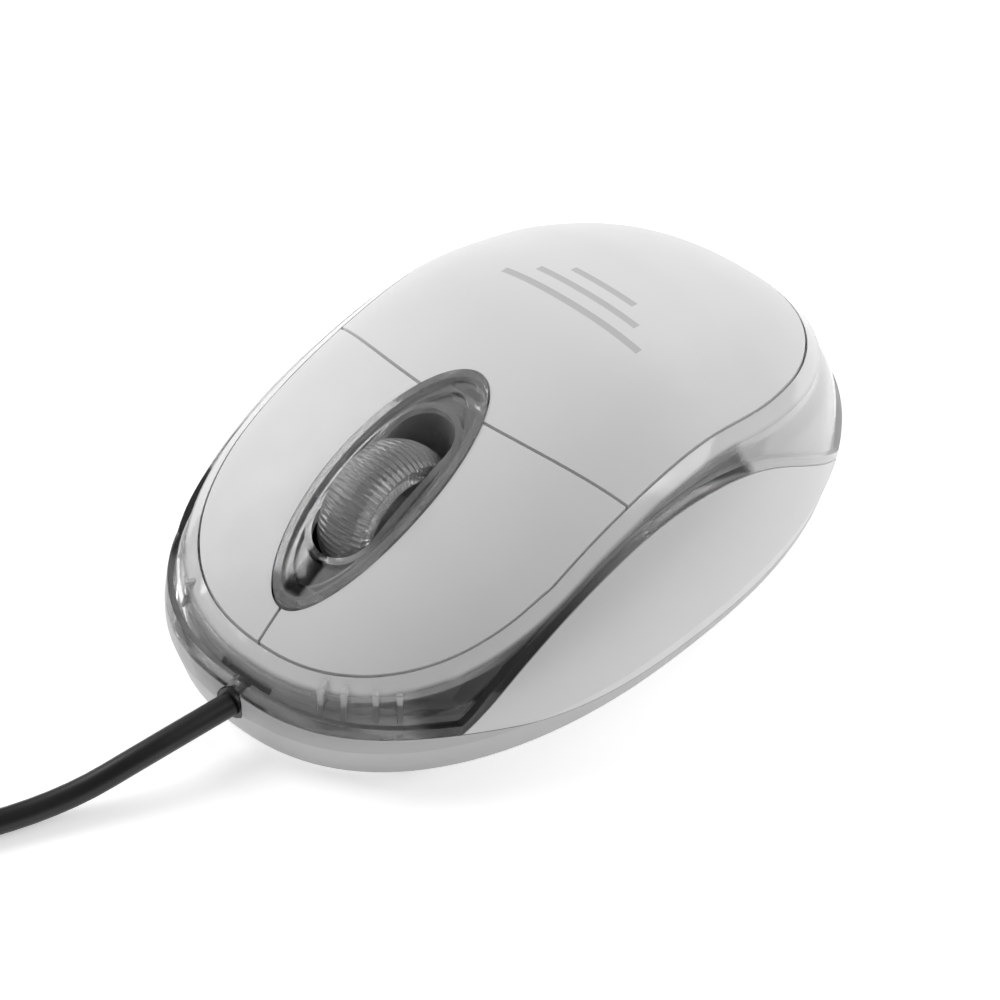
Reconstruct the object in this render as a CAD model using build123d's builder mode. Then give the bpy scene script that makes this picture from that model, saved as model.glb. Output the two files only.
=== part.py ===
"""Small wired optical computer mouse with a clear housing band, split into its real pieces.

Millimetres. +Z is up, the nose and the cable point to -Y, and +X is the user's left.
The origin is on the desk under the middle of the body.
"""
import os
from math import atan2, cos, copysign, degrees, pi, radians, sin, tan

from build123d import *

# Body skin: an egg in plan, a superellipse in section, on near-vertical walls
BODY_LENGTH = 97.0
BODY_HALF_WIDTH = 31.2
BODY_HEIGHT = 31.5
RIM_HEIGHT = 5.7
CREST_Y = 6.6
PLAN_POWER = 2.3
SECTION_POWER = 2.28
NOSE_POWER = 1.44
TAIL_POWER = 1.76
TIP_CUT = 0.05
BASE_BOTTOM = 0.6
TUCK = 1.1

# Top covers, in plan: straight sides between two superellipse ends
COVER_HALF_WIDTH = 23.5
COVER_FRONT_Y = -15.0
COVER_REAR_Y = 12.0
COVER_FRONT_REACH = 28.3
COVER_REAR_REACH = 30.7
COVER_WALL = 1.6
HOUSING_WALL = 2.0
LEDGE_DEPTH = 2.9
LEDGE_WALL = 1.2
RIDGE_OFFSET = 1.9
GROOVE_DEPTH = 0.7
EDGE_GAP = 0.3
PIECE_GAP = 0.12
SEAM_MIDDLE_Y = -10.8
SEAM_END_Y = -5.4
FLANK_RIB_PLACES = (-5.0, 3.6, 12.0)

# Wheel, its bezel and its axle
WHEEL_Y = -21.8
WHEEL_Z = 17.7
WHEEL_RADIUS = 9.2
WHEEL_SIDE_RADIUS = 8.2
WHEEL_WIDTH = 7.0
RIB_COUNT = 68
RIB_DEPTH = 0.3
AXLE_RADIUS = 1.5
BEZEL_Y = -22.6
BEZEL_HALF_WIDTH = 7.1
BEZEL_HALF_LENGTH = 16.8
SLOT_HALF_WIDTH = 4.2
SLOT_HALF_LENGTH = 10.4
SLOT_LIP = 0.8
WELL_REAR_Y = -16.0
WELL_REAR_BOTTOM = 17.0
WELL_SIDE_BOTTOM = 21.0
ENCODER_X = 9.6
CARRIER_X = -9.8

# Board and what stands on it
FLOOR_TOP = 2.2
BOARD_BOTTOM = 5.4
BOARD_TOP = 7.0
SWITCH_X = 16.0
SWITCH_Y = -24.0
SWITCH_LENGTH = 12.8
SWITCH_WIDTH = 5.8
SWITCH_HEIGHT = 6.5
PLUNGER_FORWARD = 3.4
PLUNGER_TOP = 14.4
PLUNGER_RADIUS = 0.9
SENSOR_Y = 2.0
SCREW_Y = 29.0
BOSS_TOP = 8.0
POST_SPOTS = [(-12.0, -33.5), (12.0, -33.5), (-16.5, 10.0), (16.5, 10.0)]

# Cable: where it leaves the nose, its route on the desk, and its coil
CABLE_DIAMETER = 3.0
CABLE_LENGTH = 1200.0
CABLE_EXIT_Y = -48.4
CABLE_EXIT_Z = 5.4
COIL_RADIUS = 16.5
COIL_BAND = 9.4
COIL_HEIGHT = 12.4
COIL_LIFT = 0.8
COIL_CENTRE = (-46.0, -93.0)
ROUTE = [
    (0.0, CABLE_EXIT_Y, CABLE_EXIT_Z),
    (-1.5, -58.5, 5.0),
    (-5.5, -71.0, 1.7),
    (-13.0, -86.0, 1.6),
    (-24.5, -98.6, 1.8),
    (-31.7, -106.3, 2.3),
]
TAIL_ROUTE = [
    (-63.6, -101.4, 11.5),
    (-69.2, -90.4, 11.7),
    (-75.2, -76.9, 12.8),
    (-68.2, -62.5, 14.7),
    (-52.5, -58.9, 16.4),
    (-40.0, -69.0, 17.0),
    (-40.0, -77.0, 17.0),
]
PLUG_HEADING = -90.0
PLUG_LENGTH = 24.0
PLUG_WIDTH = 14.6
PLUG_HEIGHT = 7.6


def half_width(y, inset=0.0):
    """Half-width of the body at its rim, at a place along Y."""
    reach = BODY_LENGTH / 2 - inset
    along = min(abs(y) / reach, 1.0)
    return (BODY_HALF_WIDTH - inset) * (1 - along**PLAN_POWER) ** (1 / PLAN_POWER)


def crest_height(y, inset=0.0):
    """Height of the body's top line above the rim, at a place along Y."""
    front_reach = BODY_LENGTH / 2 - inset + CREST_Y
    rear_reach = BODY_LENGTH / 2 - inset - CREST_Y
    if y < CREST_Y:
        along, power = min((CREST_Y - y) / front_reach, 1.0), NOSE_POWER
    else:
        along, power = min((y - CREST_Y) / rear_reach, 1.0), TAIL_POWER
    return (BODY_HEIGHT - inset - RIM_HEIGHT) * (1 - along**power) ** (1 / power)


def pebble(inset, stations=20, arch_points=14):
    """Solid under the body's skin, moved inwards by inset, on vertical walls."""
    reach = BODY_LENGTH / 2 - inset - TIP_CUT
    with BuildPart() as body:
        for step in range(stations + 1):
            y = -reach * cos(pi * step / stations)
            wide, high = half_width(y, inset), crest_height(y, inset)
            points = []
            for turn in range(arch_points + 1):
                angle = pi * turn / arch_points
                x = copysign(wide * abs(cos(angle)) ** (2 / SECTION_POWER), cos(angle))
                points.append((x, RIM_HEIGHT + high * max(sin(angle), 0.0) ** (2 / SECTION_POWER)))
            right_leg = [(wide, -2), (wide, 0.5), (wide, 3)]
            left_leg = [(-wide, 3), (-wide, 0.5), (-wide, -2)]
            with BuildSketch(Plane.XZ.offset(-y)):
                with BuildLine():
                    arch = Spline(right_leg + points + left_leg, tangents=[(0, 1), (0, -1)])
                    Line(arch @ 1, arch @ 0)
                make_face()
        loft()
    return body.part


def plan_outline(offset):
    """Closed plan curve of the body's rim, moved outwards by offset."""
    points = []
    for step in range(40):
        angle = 2 * pi * step / 40
        x = copysign(abs(cos(angle)) ** (2 / PLAN_POWER), cos(angle))
        y = copysign(abs(sin(angle)) ** (2 / PLAN_POWER), sin(angle))
        points.append(((BODY_HALF_WIDTH + offset) * x, (BODY_LENGTH / 2 + offset) * y))
    return points


def tucked_prism():
    """Prism of the plan outline that draws in towards the desk."""
    with BuildPart() as prism:
        for z, offset in ((BASE_BOTTOM, -TUCK), (RIM_HEIGHT + 0.3, 0.3)):
            with BuildSketch(Plane.XY.offset(z)):
                with BuildLine():
                    Spline(plan_outline(offset), periodic=True)
                make_face()
        loft(ruled=True)
        with BuildSketch(Plane.XY.offset(RIM_HEIGHT + 0.3)):
            Rectangle(2 * BODY_LENGTH, 2 * BODY_LENGTH)
        extrude(amount=BODY_HEIGHT)
    return prism.part


def cover_zone(offset):
    """Tall prism of the top covers' plan outline, moved outwards by offset."""
    points = []
    for step in range(48):
        angle = 2 * pi * step / 48
        x = copysign(abs(cos(angle)) ** (2 / PLAN_POWER), cos(angle))
        y = copysign(abs(sin(angle)) ** (2 / PLAN_POWER), sin(angle))
        reach, middle = (COVER_REAR_REACH, COVER_REAR_Y) if y >= 0 else (COVER_FRONT_REACH, COVER_FRONT_Y)
        points.append(((COVER_HALF_WIDTH + offset) * x, middle + (reach + offset) * y))
    rear, front = points[:25], points[25:]
    with BuildPart() as zone:
        with BuildSketch(Plane.XY.offset(-5)):
            with BuildLine():
                back = Spline(rear, tangents=[(0, 1), (0, -1)])
                nose_start = (-(COVER_HALF_WIDTH + offset), COVER_FRONT_Y)
                nose_end = (COVER_HALF_WIDTH + offset, COVER_FRONT_Y)
                nose = Spline([nose_start] + front + [nose_end], tangents=[(0, -1), (0, 1)])
                Line(back @ 1, nose @ 0)
                Line(nose @ 1, back @ 0)
            make_face()
        extrude(amount=60)
    return zone.part


def below_seam(lift):
    """Everything under the base's seam line, seen from the side, raised by lift."""
    seam = [(-60, 7.2), (-46, 7.1), (-38, 6.9), (-31, 5.9), (-20, 3.7), (-9, 2.7), (4, 2.3), (20, 2.4),
            (32, 3.6), (42, 4.7), (60, 4.9)]
    with BuildPart() as zone:
        with BuildSketch(Plane.YZ):
            with BuildLine():
                line = Spline([(y, z + lift) for y, z in seam])
                Polyline(line @ 1, (60, -10), (-60, -10), line @ 0)
            make_face()
        extrude(amount=60, both=True)
    return zone.part


def under_arch(lift):
    """Everything under the side panels' arched top edge, raised by lift."""
    arch = [(-38, 2.5), (-33.4, 7.2), (-27.8, 11.6), (-18.8, 16), (-8, 19.1), (2.5, 20),
            (13.9, 17.8), (24, 11.9), (33, 5.2), (37, 2)]
    with BuildPart() as zone:
        with BuildSketch(Plane.YZ):
            with BuildLine():
                line = Spline([(y, z + lift) for y, z in arch])
                Polyline(line @ 1, (37, -10), (-38, -10), line @ 0)
            make_face()
        extrude(amount=60, both=True)
    return zone.part


def oval_prism(half_x, half_y, centre_y, low, high):
    """Upright elliptical prism on the centre line."""
    with BuildPart() as prism:
        with BuildSketch(Plane.XY.offset(low)):
            with Locations((0, centre_y)):
                Ellipse(half_x, half_y)
        extrude(amount=high - low)
    return prism.part


def ahead_of_seam(shift):
    """Everything in front of the curved seam between the buttons and the palm cover."""
    side = 30.0
    end_y = SEAM_MIDDLE_Y + (SEAM_END_Y - SEAM_MIDDLE_Y) * (side / COVER_HALF_WIDTH) ** 2
    with BuildPart() as zone:
        with BuildSketch(Plane.XY.offset(-5)):
            with BuildLine():
                seam = ThreePointArc((-side, end_y + shift), (0, SEAM_MIDDLE_Y + shift), (side, end_y + shift))
                Polyline(seam @ 1, (side, -60), (-side, -60), seam @ 0)
            make_face()
        extrude(amount=60)
    return zone.part


def slab(x_range, y_range, z_range):
    """Plain block between two corners, used as a cutting tool."""
    sizes = [high - low for low, high in (x_range, y_range, z_range)]
    centre = [(high + low) / 2 for low, high in (x_range, y_range, z_range)]
    with BuildPart() as block:
        with Locations(tuple(centre)):
            Box(*sizes)
    return block.part


SKIN = pebble(0)
UNDER_COVER = pebble(COVER_WALL)
UNDER_HOUSING = pebble(HOUSING_WALL)
LEDGE_TOP = pebble(LEDGE_DEPTH)
LEDGE_UNDER = pebble(LEDGE_DEPTH + LEDGE_WALL)
OUTER_FORM = SKIN & tucked_prism()
SAVED = []


def save(part, name):
    """Label a finished sub-part and write it to its own file."""
    part.label = name
    export_step(part, f"parts/{name}.step")
    SAVED.append(name)
    print(f"{name:22s} {len(part.solids())} solid(s) {part.volume:10.1f} mm3", flush=True)


def upright_cylinder(x, y, radius, low, high):
    """Plain cylinder standing at a place in plan."""
    with BuildPart() as rod:
        with BuildSketch(Plane.XY.offset(low)):
            with Locations((x, y)):
                Circle(radius)
        extrude(amount=high - low)
    return rod.part


def cable_bore(radius):
    """Bore along the cable's exit through the nose."""
    with BuildPart() as bore:
        with BuildSketch(Plane.XZ.offset(52)):
            with Locations((0, CABLE_EXIT_Z)):
                Circle(radius)
        extrude(amount=-12)
    return bore.part


def bottom_shell():
    """White base tray: floor, wall up to the seam, lip, board posts, screw boss and openings."""
    hollow = UNDER_HOUSING & slab((-40, 40), (-60, 60), (FLOOR_TOP, 40))
    lip = (pebble(HOUSING_WALL + 0.1) - pebble(HOUSING_WALL + 1.0)) & below_seam(1.6)
    with BuildPart() as shell:
        add(OUTER_FORM & below_seam(-PIECE_GAP / 2))
        add(hollow, mode=Mode.SUBTRACT)
        with BuildSketch(Plane.XY.offset(FLOOR_TOP - 0.5)):
            with Locations(POST_SPOTS):
                Circle(2.2)
            with Locations((0, SCREW_Y)):
                Circle(3.6)
        extrude(amount=BOARD_BOTTOM - FLOOR_TOP + 0.5)
        with BuildSketch(Plane.XY.offset(BOARD_BOTTOM)):
            with Locations(POST_SPOTS):
                Circle(0.9)
            with Locations((0, SCREW_Y)):
                Circle(3.0)
        extrude(amount=BOSS_TOP - BOARD_BOTTOM)
        with Locations((0, SCREW_Y, 0)):
            Cylinder(1.3, 40, mode=Mode.SUBTRACT)
            Cylinder(2.6, 5.2, mode=Mode.SUBTRACT)
        with BuildSketch(Plane.XY.offset(-1)):
            with Locations((0, SENSOR_Y)):
                SlotOverall(13, 7.4)
        extrude(amount=FLOOR_TOP + 1.5, mode=Mode.SUBTRACT)
        with BuildSketch(Plane.XY.offset(BASE_BOTTOM)):
            add(foot_outlines(0.15))
        extrude(amount=0.4, mode=Mode.SUBTRACT)
        add(cable_bore(2.1), mode=Mode.SUBTRACT)
    with BuildPart() as rim:
        add(lip & slab((-40, 40), (-60, 60), (FLOOR_TOP - 0.2, 40)))
        add(slab((-4, 4), (-60, -30), (-1, 20)), mode=Mode.SUBTRACT)
    return shell.part + rim.part


def foot_outlines(offset):
    """Plan outlines of the four glide feet, moved outwards by offset."""
    with BuildSketch() as outlines:
        for x, y, turn in ((-13, -35, 28), (13, -35, -28), (-14, 33, -33), (14, 33, 33)):
            with Locations(Location((x, y, 0), (0, 0, turn))):
                SlotOverall(13 + 2 * offset, 5 + 2 * offset)
    return outlines.sketch


def glide_feet():
    """Four low-friction feet, set in shallow pockets under the base."""
    with BuildPart() as feet:
        with BuildSketch():
            add(foot_outlines(0))
        extrude(amount=BASE_BOTTOM + 0.4)
        chamfer(feet.faces().sort_by(Axis.Z)[:4].edges(), length=0.2)
    return feet.part


def clear_housing():
    """Clear band between the covers and the base, with a ledge, a groove and inner ribs."""
    ring = OUTER_FORM - cover_zone(-1.8) - below_seam(PIECE_GAP / 2) - under_arch(PIECE_GAP / 2)
    ring = ring - LEDGE_UNDER
    pocket = UNDER_HOUSING - cover_zone(RIDGE_OFFSET + 0.2) - housing_fins()
    low_pocket = (UNDER_HOUSING & below_seam(2.3)) - housing_fins()
    seat = LEDGE_TOP + (UNDER_COVER - ahead_of_seam(1.5))
    groove = slab((-60, 60), (-70, 70), (-5, 60)) - pebble(GROOVE_DEPTH) - cover_zone(RIDGE_OFFSET)
    groove = groove - below_seam(1.3) - under_arch(1.2)
    room = cover_zone(EDGE_GAP) - seat
    return ring - pocket - low_pocket - room - groove - cable_bore(2.1)


def housing_fins():
    """Upright stiffening ribs and snap tabs left standing on the inside of the clear band."""
    with BuildPart() as fins:
        for y in FLANK_RIB_PLACES:
            with Locations((-27, y, 16.6), (27, y, 16.6)):
                Box(6, 1.1, 15)
        for x, y in ((-19, -36), (-15.5, -40), (-9, -43), (9, -43), (13.5, -41), (17.5, -38), (21, -33)):
            turn = degrees(atan2(y + 12, x))
            with Locations(Location((x, y, 16), (0, 0, turn))):
                Box(9, 0.9, 13.8)
    return fins.part


def side_panel(side):
    """White arched panel on one flank."""
    shell = (OUTER_FORM - UNDER_HOUSING) & under_arch(-PIECE_GAP / 2)
    panel = shell - below_seam(PIECE_GAP / 2)
    flank = slab((10, 60), (-60, 60), (-5, 40)) if side > 0 else slab((-60, -10), (-60, 60), (-5, 40))
    return panel & flank


def bezel_hole():
    """Oval hole for the wheel's bezel in the covers."""
    return oval_prism(BEZEL_HALF_WIDTH + 0.25, BEZEL_HALF_LENGTH + 0.25, BEZEL_Y, 0, 50)


def palm_cover():
    """Rear top cover with its screw boss."""
    cover = (SKIN - UNDER_COVER) & cover_zone(0)
    cover = cover - ahead_of_seam(0.2) - bezel_hole()
    boss = upright_cylinder(0, SCREW_Y, 3.0, BOSS_TOP + 0.1, 40) & pebble(COVER_WALL - 0.3)
    boss = boss - upright_cylinder(0, SCREW_Y, 1.1, 0, 18)
    return cover + boss


def button(side):
    """Button plate on one side, with its hinge tongue and its switch post."""
    half = slab((0.2, 60), (-60, 60), (-5, 60)) if side > 0 else slab((-60, -0.2), (-60, 60), (-5, 60))
    plate = ((SKIN - UNDER_COVER) & cover_zone(0) & ahead_of_seam(-0.2)) - bezel_hole()
    web = (pebble(COVER_WALL - 0.3) - pebble(LEDGE_DEPTH)) & cover_zone(-3.5)
    web = web & ahead_of_seam(-0.9) & slab((-60, 60), (-13.5, 0), (-5, 60))
    tongue = (pebble(COVER_WALL + 0.5) - pebble(LEDGE_DEPTH)) & cover_zone(-3.5)
    tongue = tongue & slab((-60, 60), (-13.5, -3.5), (-5, 60))
    x = side * SWITCH_X
    post = upright_cylinder(x, SWITCH_Y - PLUNGER_FORWARD, 1.6, PLUNGER_TOP + 0.05, 40)
    post = post & pebble(COVER_WALL - 0.3)
    tongue = (web + tongue) - bezel_hole() - slab((-3.2, 3.2), (-60, 60), (-5, 60))
    return (plate + tongue + post) & half


def wheel_slot(offset):
    """Upright block through the wheel's slot, moved outwards by offset."""
    with BuildPart() as slot:
        with BuildSketch():
            with Locations((0, WHEEL_Y - 0.4)):
                SlotOverall(2 * (SLOT_HALF_LENGTH + offset), 2 * (SLOT_HALF_WIDTH + offset), rotation=90)
        extrude(amount=50)
    return slot.part


def wheel_bezel():
    """Clear oval dish and well round the wheel, with a bar to the housing and one to the palm cover."""
    outer = pebble(-0.25) & oval_prism(BEZEL_HALF_WIDTH, BEZEL_HALF_LENGTH, BEZEL_Y, 0, 50)
    rim_form = pebble(0.5)
    dish_1 = oval_prism(BEZEL_HALF_WIDTH - 0.9, BEZEL_HALF_LENGTH - 1.2, BEZEL_Y, 0, 50) - rim_form
    dish_2 = oval_prism(BEZEL_HALF_WIDTH - 1.7, BEZEL_HALF_LENGTH - 3.0, BEZEL_Y, 0, 50) - pebble(1.1)
    slot = wheel_slot(0)
    ring = (wheel_slot(SLOT_LIP) - slot) & rim_form
    lip = ring - UNDER_HOUSING
    side_walls = ring & slab((-9, 9), (-60, WELL_REAR_Y), (WELL_SIDE_BOTTOM, 60))
    rear_wall = ring & slab((-9, 9), (WELL_REAR_Y, 0), (WELL_REAR_BOTTOM, 60))
    bar = LEDGE_TOP - LEDGE_UNDER
    front_bar = (bar & slab((-2.5, 2.5), (-50, BEZEL_Y - BEZEL_HALF_LENGTH + 2), (0, 50))) & cover_zone(-1.8)
    neck = (pebble(1.0) - LEDGE_UNDER) & oval_prism(BEZEL_HALF_WIDTH, BEZEL_HALF_LENGTH, BEZEL_Y, 0, 50)
    neck = neck & slab((-2.5, 2.5), (-50, 0), (0, 50))
    neck = neck - slab((-9, 9), (BEZEL_Y - BEZEL_HALF_LENGTH + 2, BEZEL_Y + BEZEL_HALF_LENGTH - 2), (0, 50))
    rear_bar = (UNDER_COVER - LEDGE_TOP) & slab((-2.5, 2.5), (BEZEL_Y + BEZEL_HALF_LENGTH - 2, 2), (0, 50))
    dish = outer - UNDER_HOUSING - dish_1 - dish_2
    return dish + neck + front_bar + rear_bar - slot + lip + side_walls + rear_wall


def scroll_wheel():
    """Clear ribbed wheel with a crowned tread, hollow sides and a hub bored for the axle."""
    half = WHEEL_WIDTH / 2
    with BuildPart() as wheel:
        with BuildSketch(Plane.XY):
            with BuildLine():
                crown = ThreePointArc((-half, WHEEL_SIDE_RADIUS), (0, WHEEL_RADIUS), (half, WHEEL_SIDE_RADIUS))
                Polyline(crown @ 1, (half, 6.1), (0.9, 6.1), (0.9, 2.9), (half, 2.9), (half, AXLE_RADIUS),
                         (-half, AXLE_RADIUS), (-half, 2.9), (-0.9, 2.9), (-0.9, 6.1), (-half, 6.1), crown @ 0)
            make_face()
        revolve(axis=Axis.X)
        teeth = []
        for step in range(2 * RIB_COUNT):
            angle = pi * step / RIB_COUNT
            radius = WHEEL_RADIUS + 0.05 - (step % 2) * RIB_DEPTH
            teeth.append((radius * cos(angle), radius * sin(angle)))
        with BuildSketch(Plane.YZ.offset(-half)):
            Polygon(*teeth, align=None)
        extrude(amount=WHEEL_WIDTH, mode=Mode.INTERSECT)
    return Pos(0, WHEEL_Y, WHEEL_Z) * wheel.part


def wheel_axle():
    """Round axle through the wheel, with a flat-sided end for the encoder and a collar on each side."""
    with BuildPart() as axle:
        with BuildSketch(Plane.YZ.offset(CARRIER_X - 1.6)):
            Circle(AXLE_RADIUS)
        extrude(amount=ENCODER_X - 3.2 - (CARRIER_X - 1.6))
        with BuildSketch(Plane.YZ.offset(ENCODER_X - 3.2)):
            RegularPolygon(1.15, 6)
        extrude(amount=5.6)
        with BuildSketch(Plane.YZ.offset(-5.2)):
            Circle(2.3)
        extrude(amount=1.6)
        with BuildSketch(Plane.YZ.offset(3.6)):
            Circle(2.3)
        extrude(amount=1.6)
    return Pos(0, WHEEL_Y, WHEEL_Z) * axle.part


def encoder_rotor():
    """Turning sleeve inside the encoder, on the axle's six-sided end."""
    with BuildPart() as rotor:
        with BuildSketch(Plane.YZ.offset(ENCODER_X - 2.0)):
            Circle(2.1)
            RegularPolygon(1.15, 6, mode=Mode.SUBTRACT)
        extrude(amount=4.0)
    return Pos(0, WHEEL_Y, WHEEL_Z) * rotor.part


def encoder_body():
    """Encoder frame standing on the board beside the wheel, with its pins."""
    with BuildPart() as body:
        with BuildSketch(Plane.XY.offset(BOARD_TOP)):
            with Locations((ENCODER_X, WHEEL_Y)):
                Rectangle(4.4, 7.2)
        extrude(amount=WHEEL_Z + 2.6 - BOARD_TOP)
        fillet(body.edges().filter_by(Axis.X).group_by(Axis.Z)[-1], radius=2.6)
        with BuildSketch(Plane.YZ.offset(ENCODER_X - 5)):
            with Locations((WHEEL_Y, WHEEL_Z)):
                Circle(2.3)
        extrude(amount=10, mode=Mode.SUBTRACT)
        with BuildSketch(Plane.XY.offset(BOARD_TOP)):
            with Locations((ENCODER_X, WHEEL_Y)):
                with GridLocations(2.0, 2.5, 1, 3):
                    Rectangle(0.6, 0.6)
        extrude(amount=-2.4)
    return body.part


def wheel_carrier():
    """Swinging saddle that holds the axle's free end over the middle switch."""
    with BuildPart() as carrier:
        with BuildSketch(Plane.YZ.offset(CARRIER_X - 1.0)):
            with Locations((WHEEL_Y, WHEEL_Z)):
                Circle(2.7)
            with Locations((WHEEL_Y, (WHEEL_Z + PLUNGER_TOP) / 2)):
                Rectangle(3.0, WHEEL_Z - PLUNGER_TOP - 0.1)
            with Locations((WHEEL_Y, WHEEL_Z)):
                Circle(AXLE_RADIUS + 0.06, mode=Mode.SUBTRACT)
        extrude(amount=2.0)
    return carrier.part


def switch_body(x, y):
    """Snap-action switch case with its three legs and a hole for the plunger."""
    with BuildPart() as case:
        with BuildSketch(Plane.XY.offset(BOARD_TOP)):
            with Locations((x, y)):
                Rectangle(SWITCH_WIDTH, SWITCH_LENGTH)
        extrude(amount=SWITCH_HEIGHT)
        chamfer(case.faces().sort_by(Axis.Z)[-1].edges(), length=0.4)
        with BuildSketch(Plane.XY.offset(BOARD_TOP + SWITCH_HEIGHT)):
            with Locations((x, y - PLUNGER_FORWARD)):
                Circle(PLUNGER_RADIUS + 0.1)
        extrude(amount=-1.5, mode=Mode.SUBTRACT)
        with BuildSketch(Plane.XY.offset(BOARD_TOP)):
            with Locations((x, y - 5), (x, y), (x, y + 5)):
                Rectangle(0.8, 0.5)
        extrude(amount=-2.6)
    return case.part


def switch_plunger(x, y):
    """Short round plunger of a switch."""
    with BuildPart() as plunger:
        with BuildSketch(Plane.XY.offset(BOARD_TOP + SWITCH_HEIGHT - 0.9)):
            with Locations((x, y - PLUNGER_FORWARD)):
                Circle(PLUNGER_RADIUS)
        extrude(amount=PLUNGER_TOP - BOARD_TOP - SWITCH_HEIGHT + 0.9)
        fillet(plunger.edges().filter_by(GeomType.CIRCLE).sort_by(Axis.Z)[-1], radius=0.3)
    return plunger.part


def middle_switch_y():
    """Place of the middle switch that puts its plunger under the axle's free end."""
    return WHEEL_Y + PLUNGER_FORWARD


def circuit_board():
    """Board with holes for the posts, the sensor's window and every leg."""
    outline = [(-12, -38), (12, -38), (19.4, -30), (19.4, 14.5), (-19.4, 14.5), (-19.4, -30)]
    legs = [(side * SWITCH_X, SWITCH_Y + step) for side in (-1, 1) for step in (-5, 0, 5)]
    legs += [(CARRIER_X, middle_switch_y() + step) for step in (-5, 0, 5)]
    with BuildPart() as board:
        with BuildSketch(Plane.XY.offset(BOARD_BOTTOM)):
            Polygon(*outline, align=None)
        extrude(amount=BOARD_TOP - BOARD_BOTTOM)
        fillet(board.edges().filter_by(Axis.Z), radius=1.2)
        with BuildSketch(Plane.XY.offset(BOARD_TOP)):
            with Locations(POST_SPOTS):
                Circle(1.0)
            with Locations((0, SENSOR_Y)):
                Rectangle(6, 8)
            with Locations(legs):
                Rectangle(1.0, 0.7)
            with Locations((ENCODER_X, WHEEL_Y)):
                with GridLocations(2.0, 2.5, 1, 3):
                    Rectangle(0.8, 0.8)
        extrude(amount=-(BOARD_TOP - BOARD_BOTTOM), mode=Mode.SUBTRACT)
    return board.part


def sensor_chip():
    """Optical sensor with eight bent legs, lying over the board's window."""
    with BuildPart() as chip:
        with BuildSketch(Plane.XY.offset(BOARD_TOP + 0.2)):
            with Locations((0, SENSOR_Y)):
                Rectangle(9.8, 10.4)
        extrude(amount=2.6)
        chamfer(chip.faces().sort_by(Axis.Z)[-1].edges(), length=0.5)
        with BuildSketch(Plane.XY.offset(BOARD_TOP)):
            with Locations((0, SENSOR_Y)):
                with GridLocations(11.6, 2.4, 2, 4):
                    Rectangle(2.6, 0.5)
        extrude(amount=0.5)
    return chip.part


def sensor_lens():
    """Clear lens plate in the base window, with a dome and a light pipe up to the board."""
    with BuildPart() as lens:
        with BuildSketch(Plane.XY.offset(FLOOR_TOP)):
            with Locations((0, SENSOR_Y)):
                SlotOverall(18, 10.5)
        extrude(amount=1.0)
        with BuildSketch(Plane.XY.offset(FLOOR_TOP + 1.0)):
            with Locations((0, SENSOR_Y)):
                Circle(2.6)
        extrude(amount=1.6, taper=12)
        with BuildSketch(Plane.XY.offset(FLOOR_TOP)):
            with Locations((0, SENSOR_Y)):
                SlotOverall(12.6, 7.0)
        extrude(amount=-0.8)
    return lens.part


def led_y():
    """Place of the lamp behind the sensor."""
    return SENSOR_Y + 9.6


def led():
    """Small round lamp lying behind the sensor, with its two legs."""
    axis_z = BOARD_TOP + 2.4
    with BuildPart() as lamp:
        with BuildSketch(Plane.XZ.offset(-led_y())):
            with Locations((0, axis_z)):
                Circle(1.5)
        extrude(amount=3.4)
        fillet(lamp.edges().filter_by(GeomType.CIRCLE).sort_by(Axis.Y)[0], radius=1.3)
        with BuildSketch(Plane.XZ.offset(-led_y())):
            with Locations((0, axis_z)):
                Circle(1.9)
        extrude(amount=-0.8)
        with BuildSketch(Plane.XZ.offset(-led_y() - 0.8)):
            with Locations((-1.27, axis_z), (1.27, axis_z)):
                Rectangle(0.5, 0.5)
        extrude(amount=-1.4)
        with BuildSketch(Plane.XY.offset(BOARD_TOP)):
            with Locations((-1.27, led_y() + 2.0), (1.27, led_y() + 2.0)):
                Rectangle(0.5, 0.5)
        extrude(amount=2.4)
    return lamp.part


def led_clip():
    """Black clip standing on the board that holds the lamp."""
    with BuildPart() as clip:
        with BuildSketch(Plane.XY.offset(BOARD_TOP)):
            with Locations((0, led_y() - 1.1)):
                Rectangle(6.4, 2.0)
        extrude(amount=4.8)
        fillet(clip.edges().filter_by(Axis.Y).group_by(Axis.Z)[-1], radius=1.6)
        with BuildSketch(Plane.XZ.offset(-led_y() - 2)):
            with Locations((0, BOARD_TOP + 2.4)):
                Circle(1.55)
        extrude(amount=8, mode=Mode.SUBTRACT)
    return clip.part


def capacitor():
    """Upright electrolytic capacitor with a stepped rubber end."""
    with BuildPart() as can:
        with BuildSketch(Plane.XY.offset(BOARD_TOP)):
            with Locations((12, -4)):
                Circle(2.1)
        extrude(amount=0.8)
        with BuildSketch(Plane.XY.offset(BOARD_TOP + 0.8)):
            with Locations((12, -4)):
                Circle(2.5)
        extrude(amount=7.2)
        fillet(can.edges().filter_by(GeomType.CIRCLE).sort_by(Axis.Z)[-1], radius=0.5)
    return can.part


def chip_resistors():
    """Row of small surface-mount resistors."""
    with BuildPart() as row:
        with BuildSketch(Plane.XY.offset(BOARD_TOP)):
            with Locations((-12, -2)):
                with GridLocations(2.6, 3.0, 2, 4):
                    Rectangle(1.2, 2.0)
        extrude(amount=0.6)
    return row.part


def cable_socket():
    """Board socket for the cable's plug, open to the rear."""
    with BuildPart() as socket:
        with BuildSketch(Plane.XY.offset(BOARD_TOP)):
            with Locations((0, -33.6)):
                Rectangle(9.0, 3.4)
        extrude(amount=3.4)
        with BuildSketch(Plane.XZ.offset(36)):
            with Locations((0, BOARD_TOP + 1.9)):
                Rectangle(7.4, 1.8)
        extrude(amount=-3.4, mode=Mode.SUBTRACT)
    return socket.part


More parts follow.
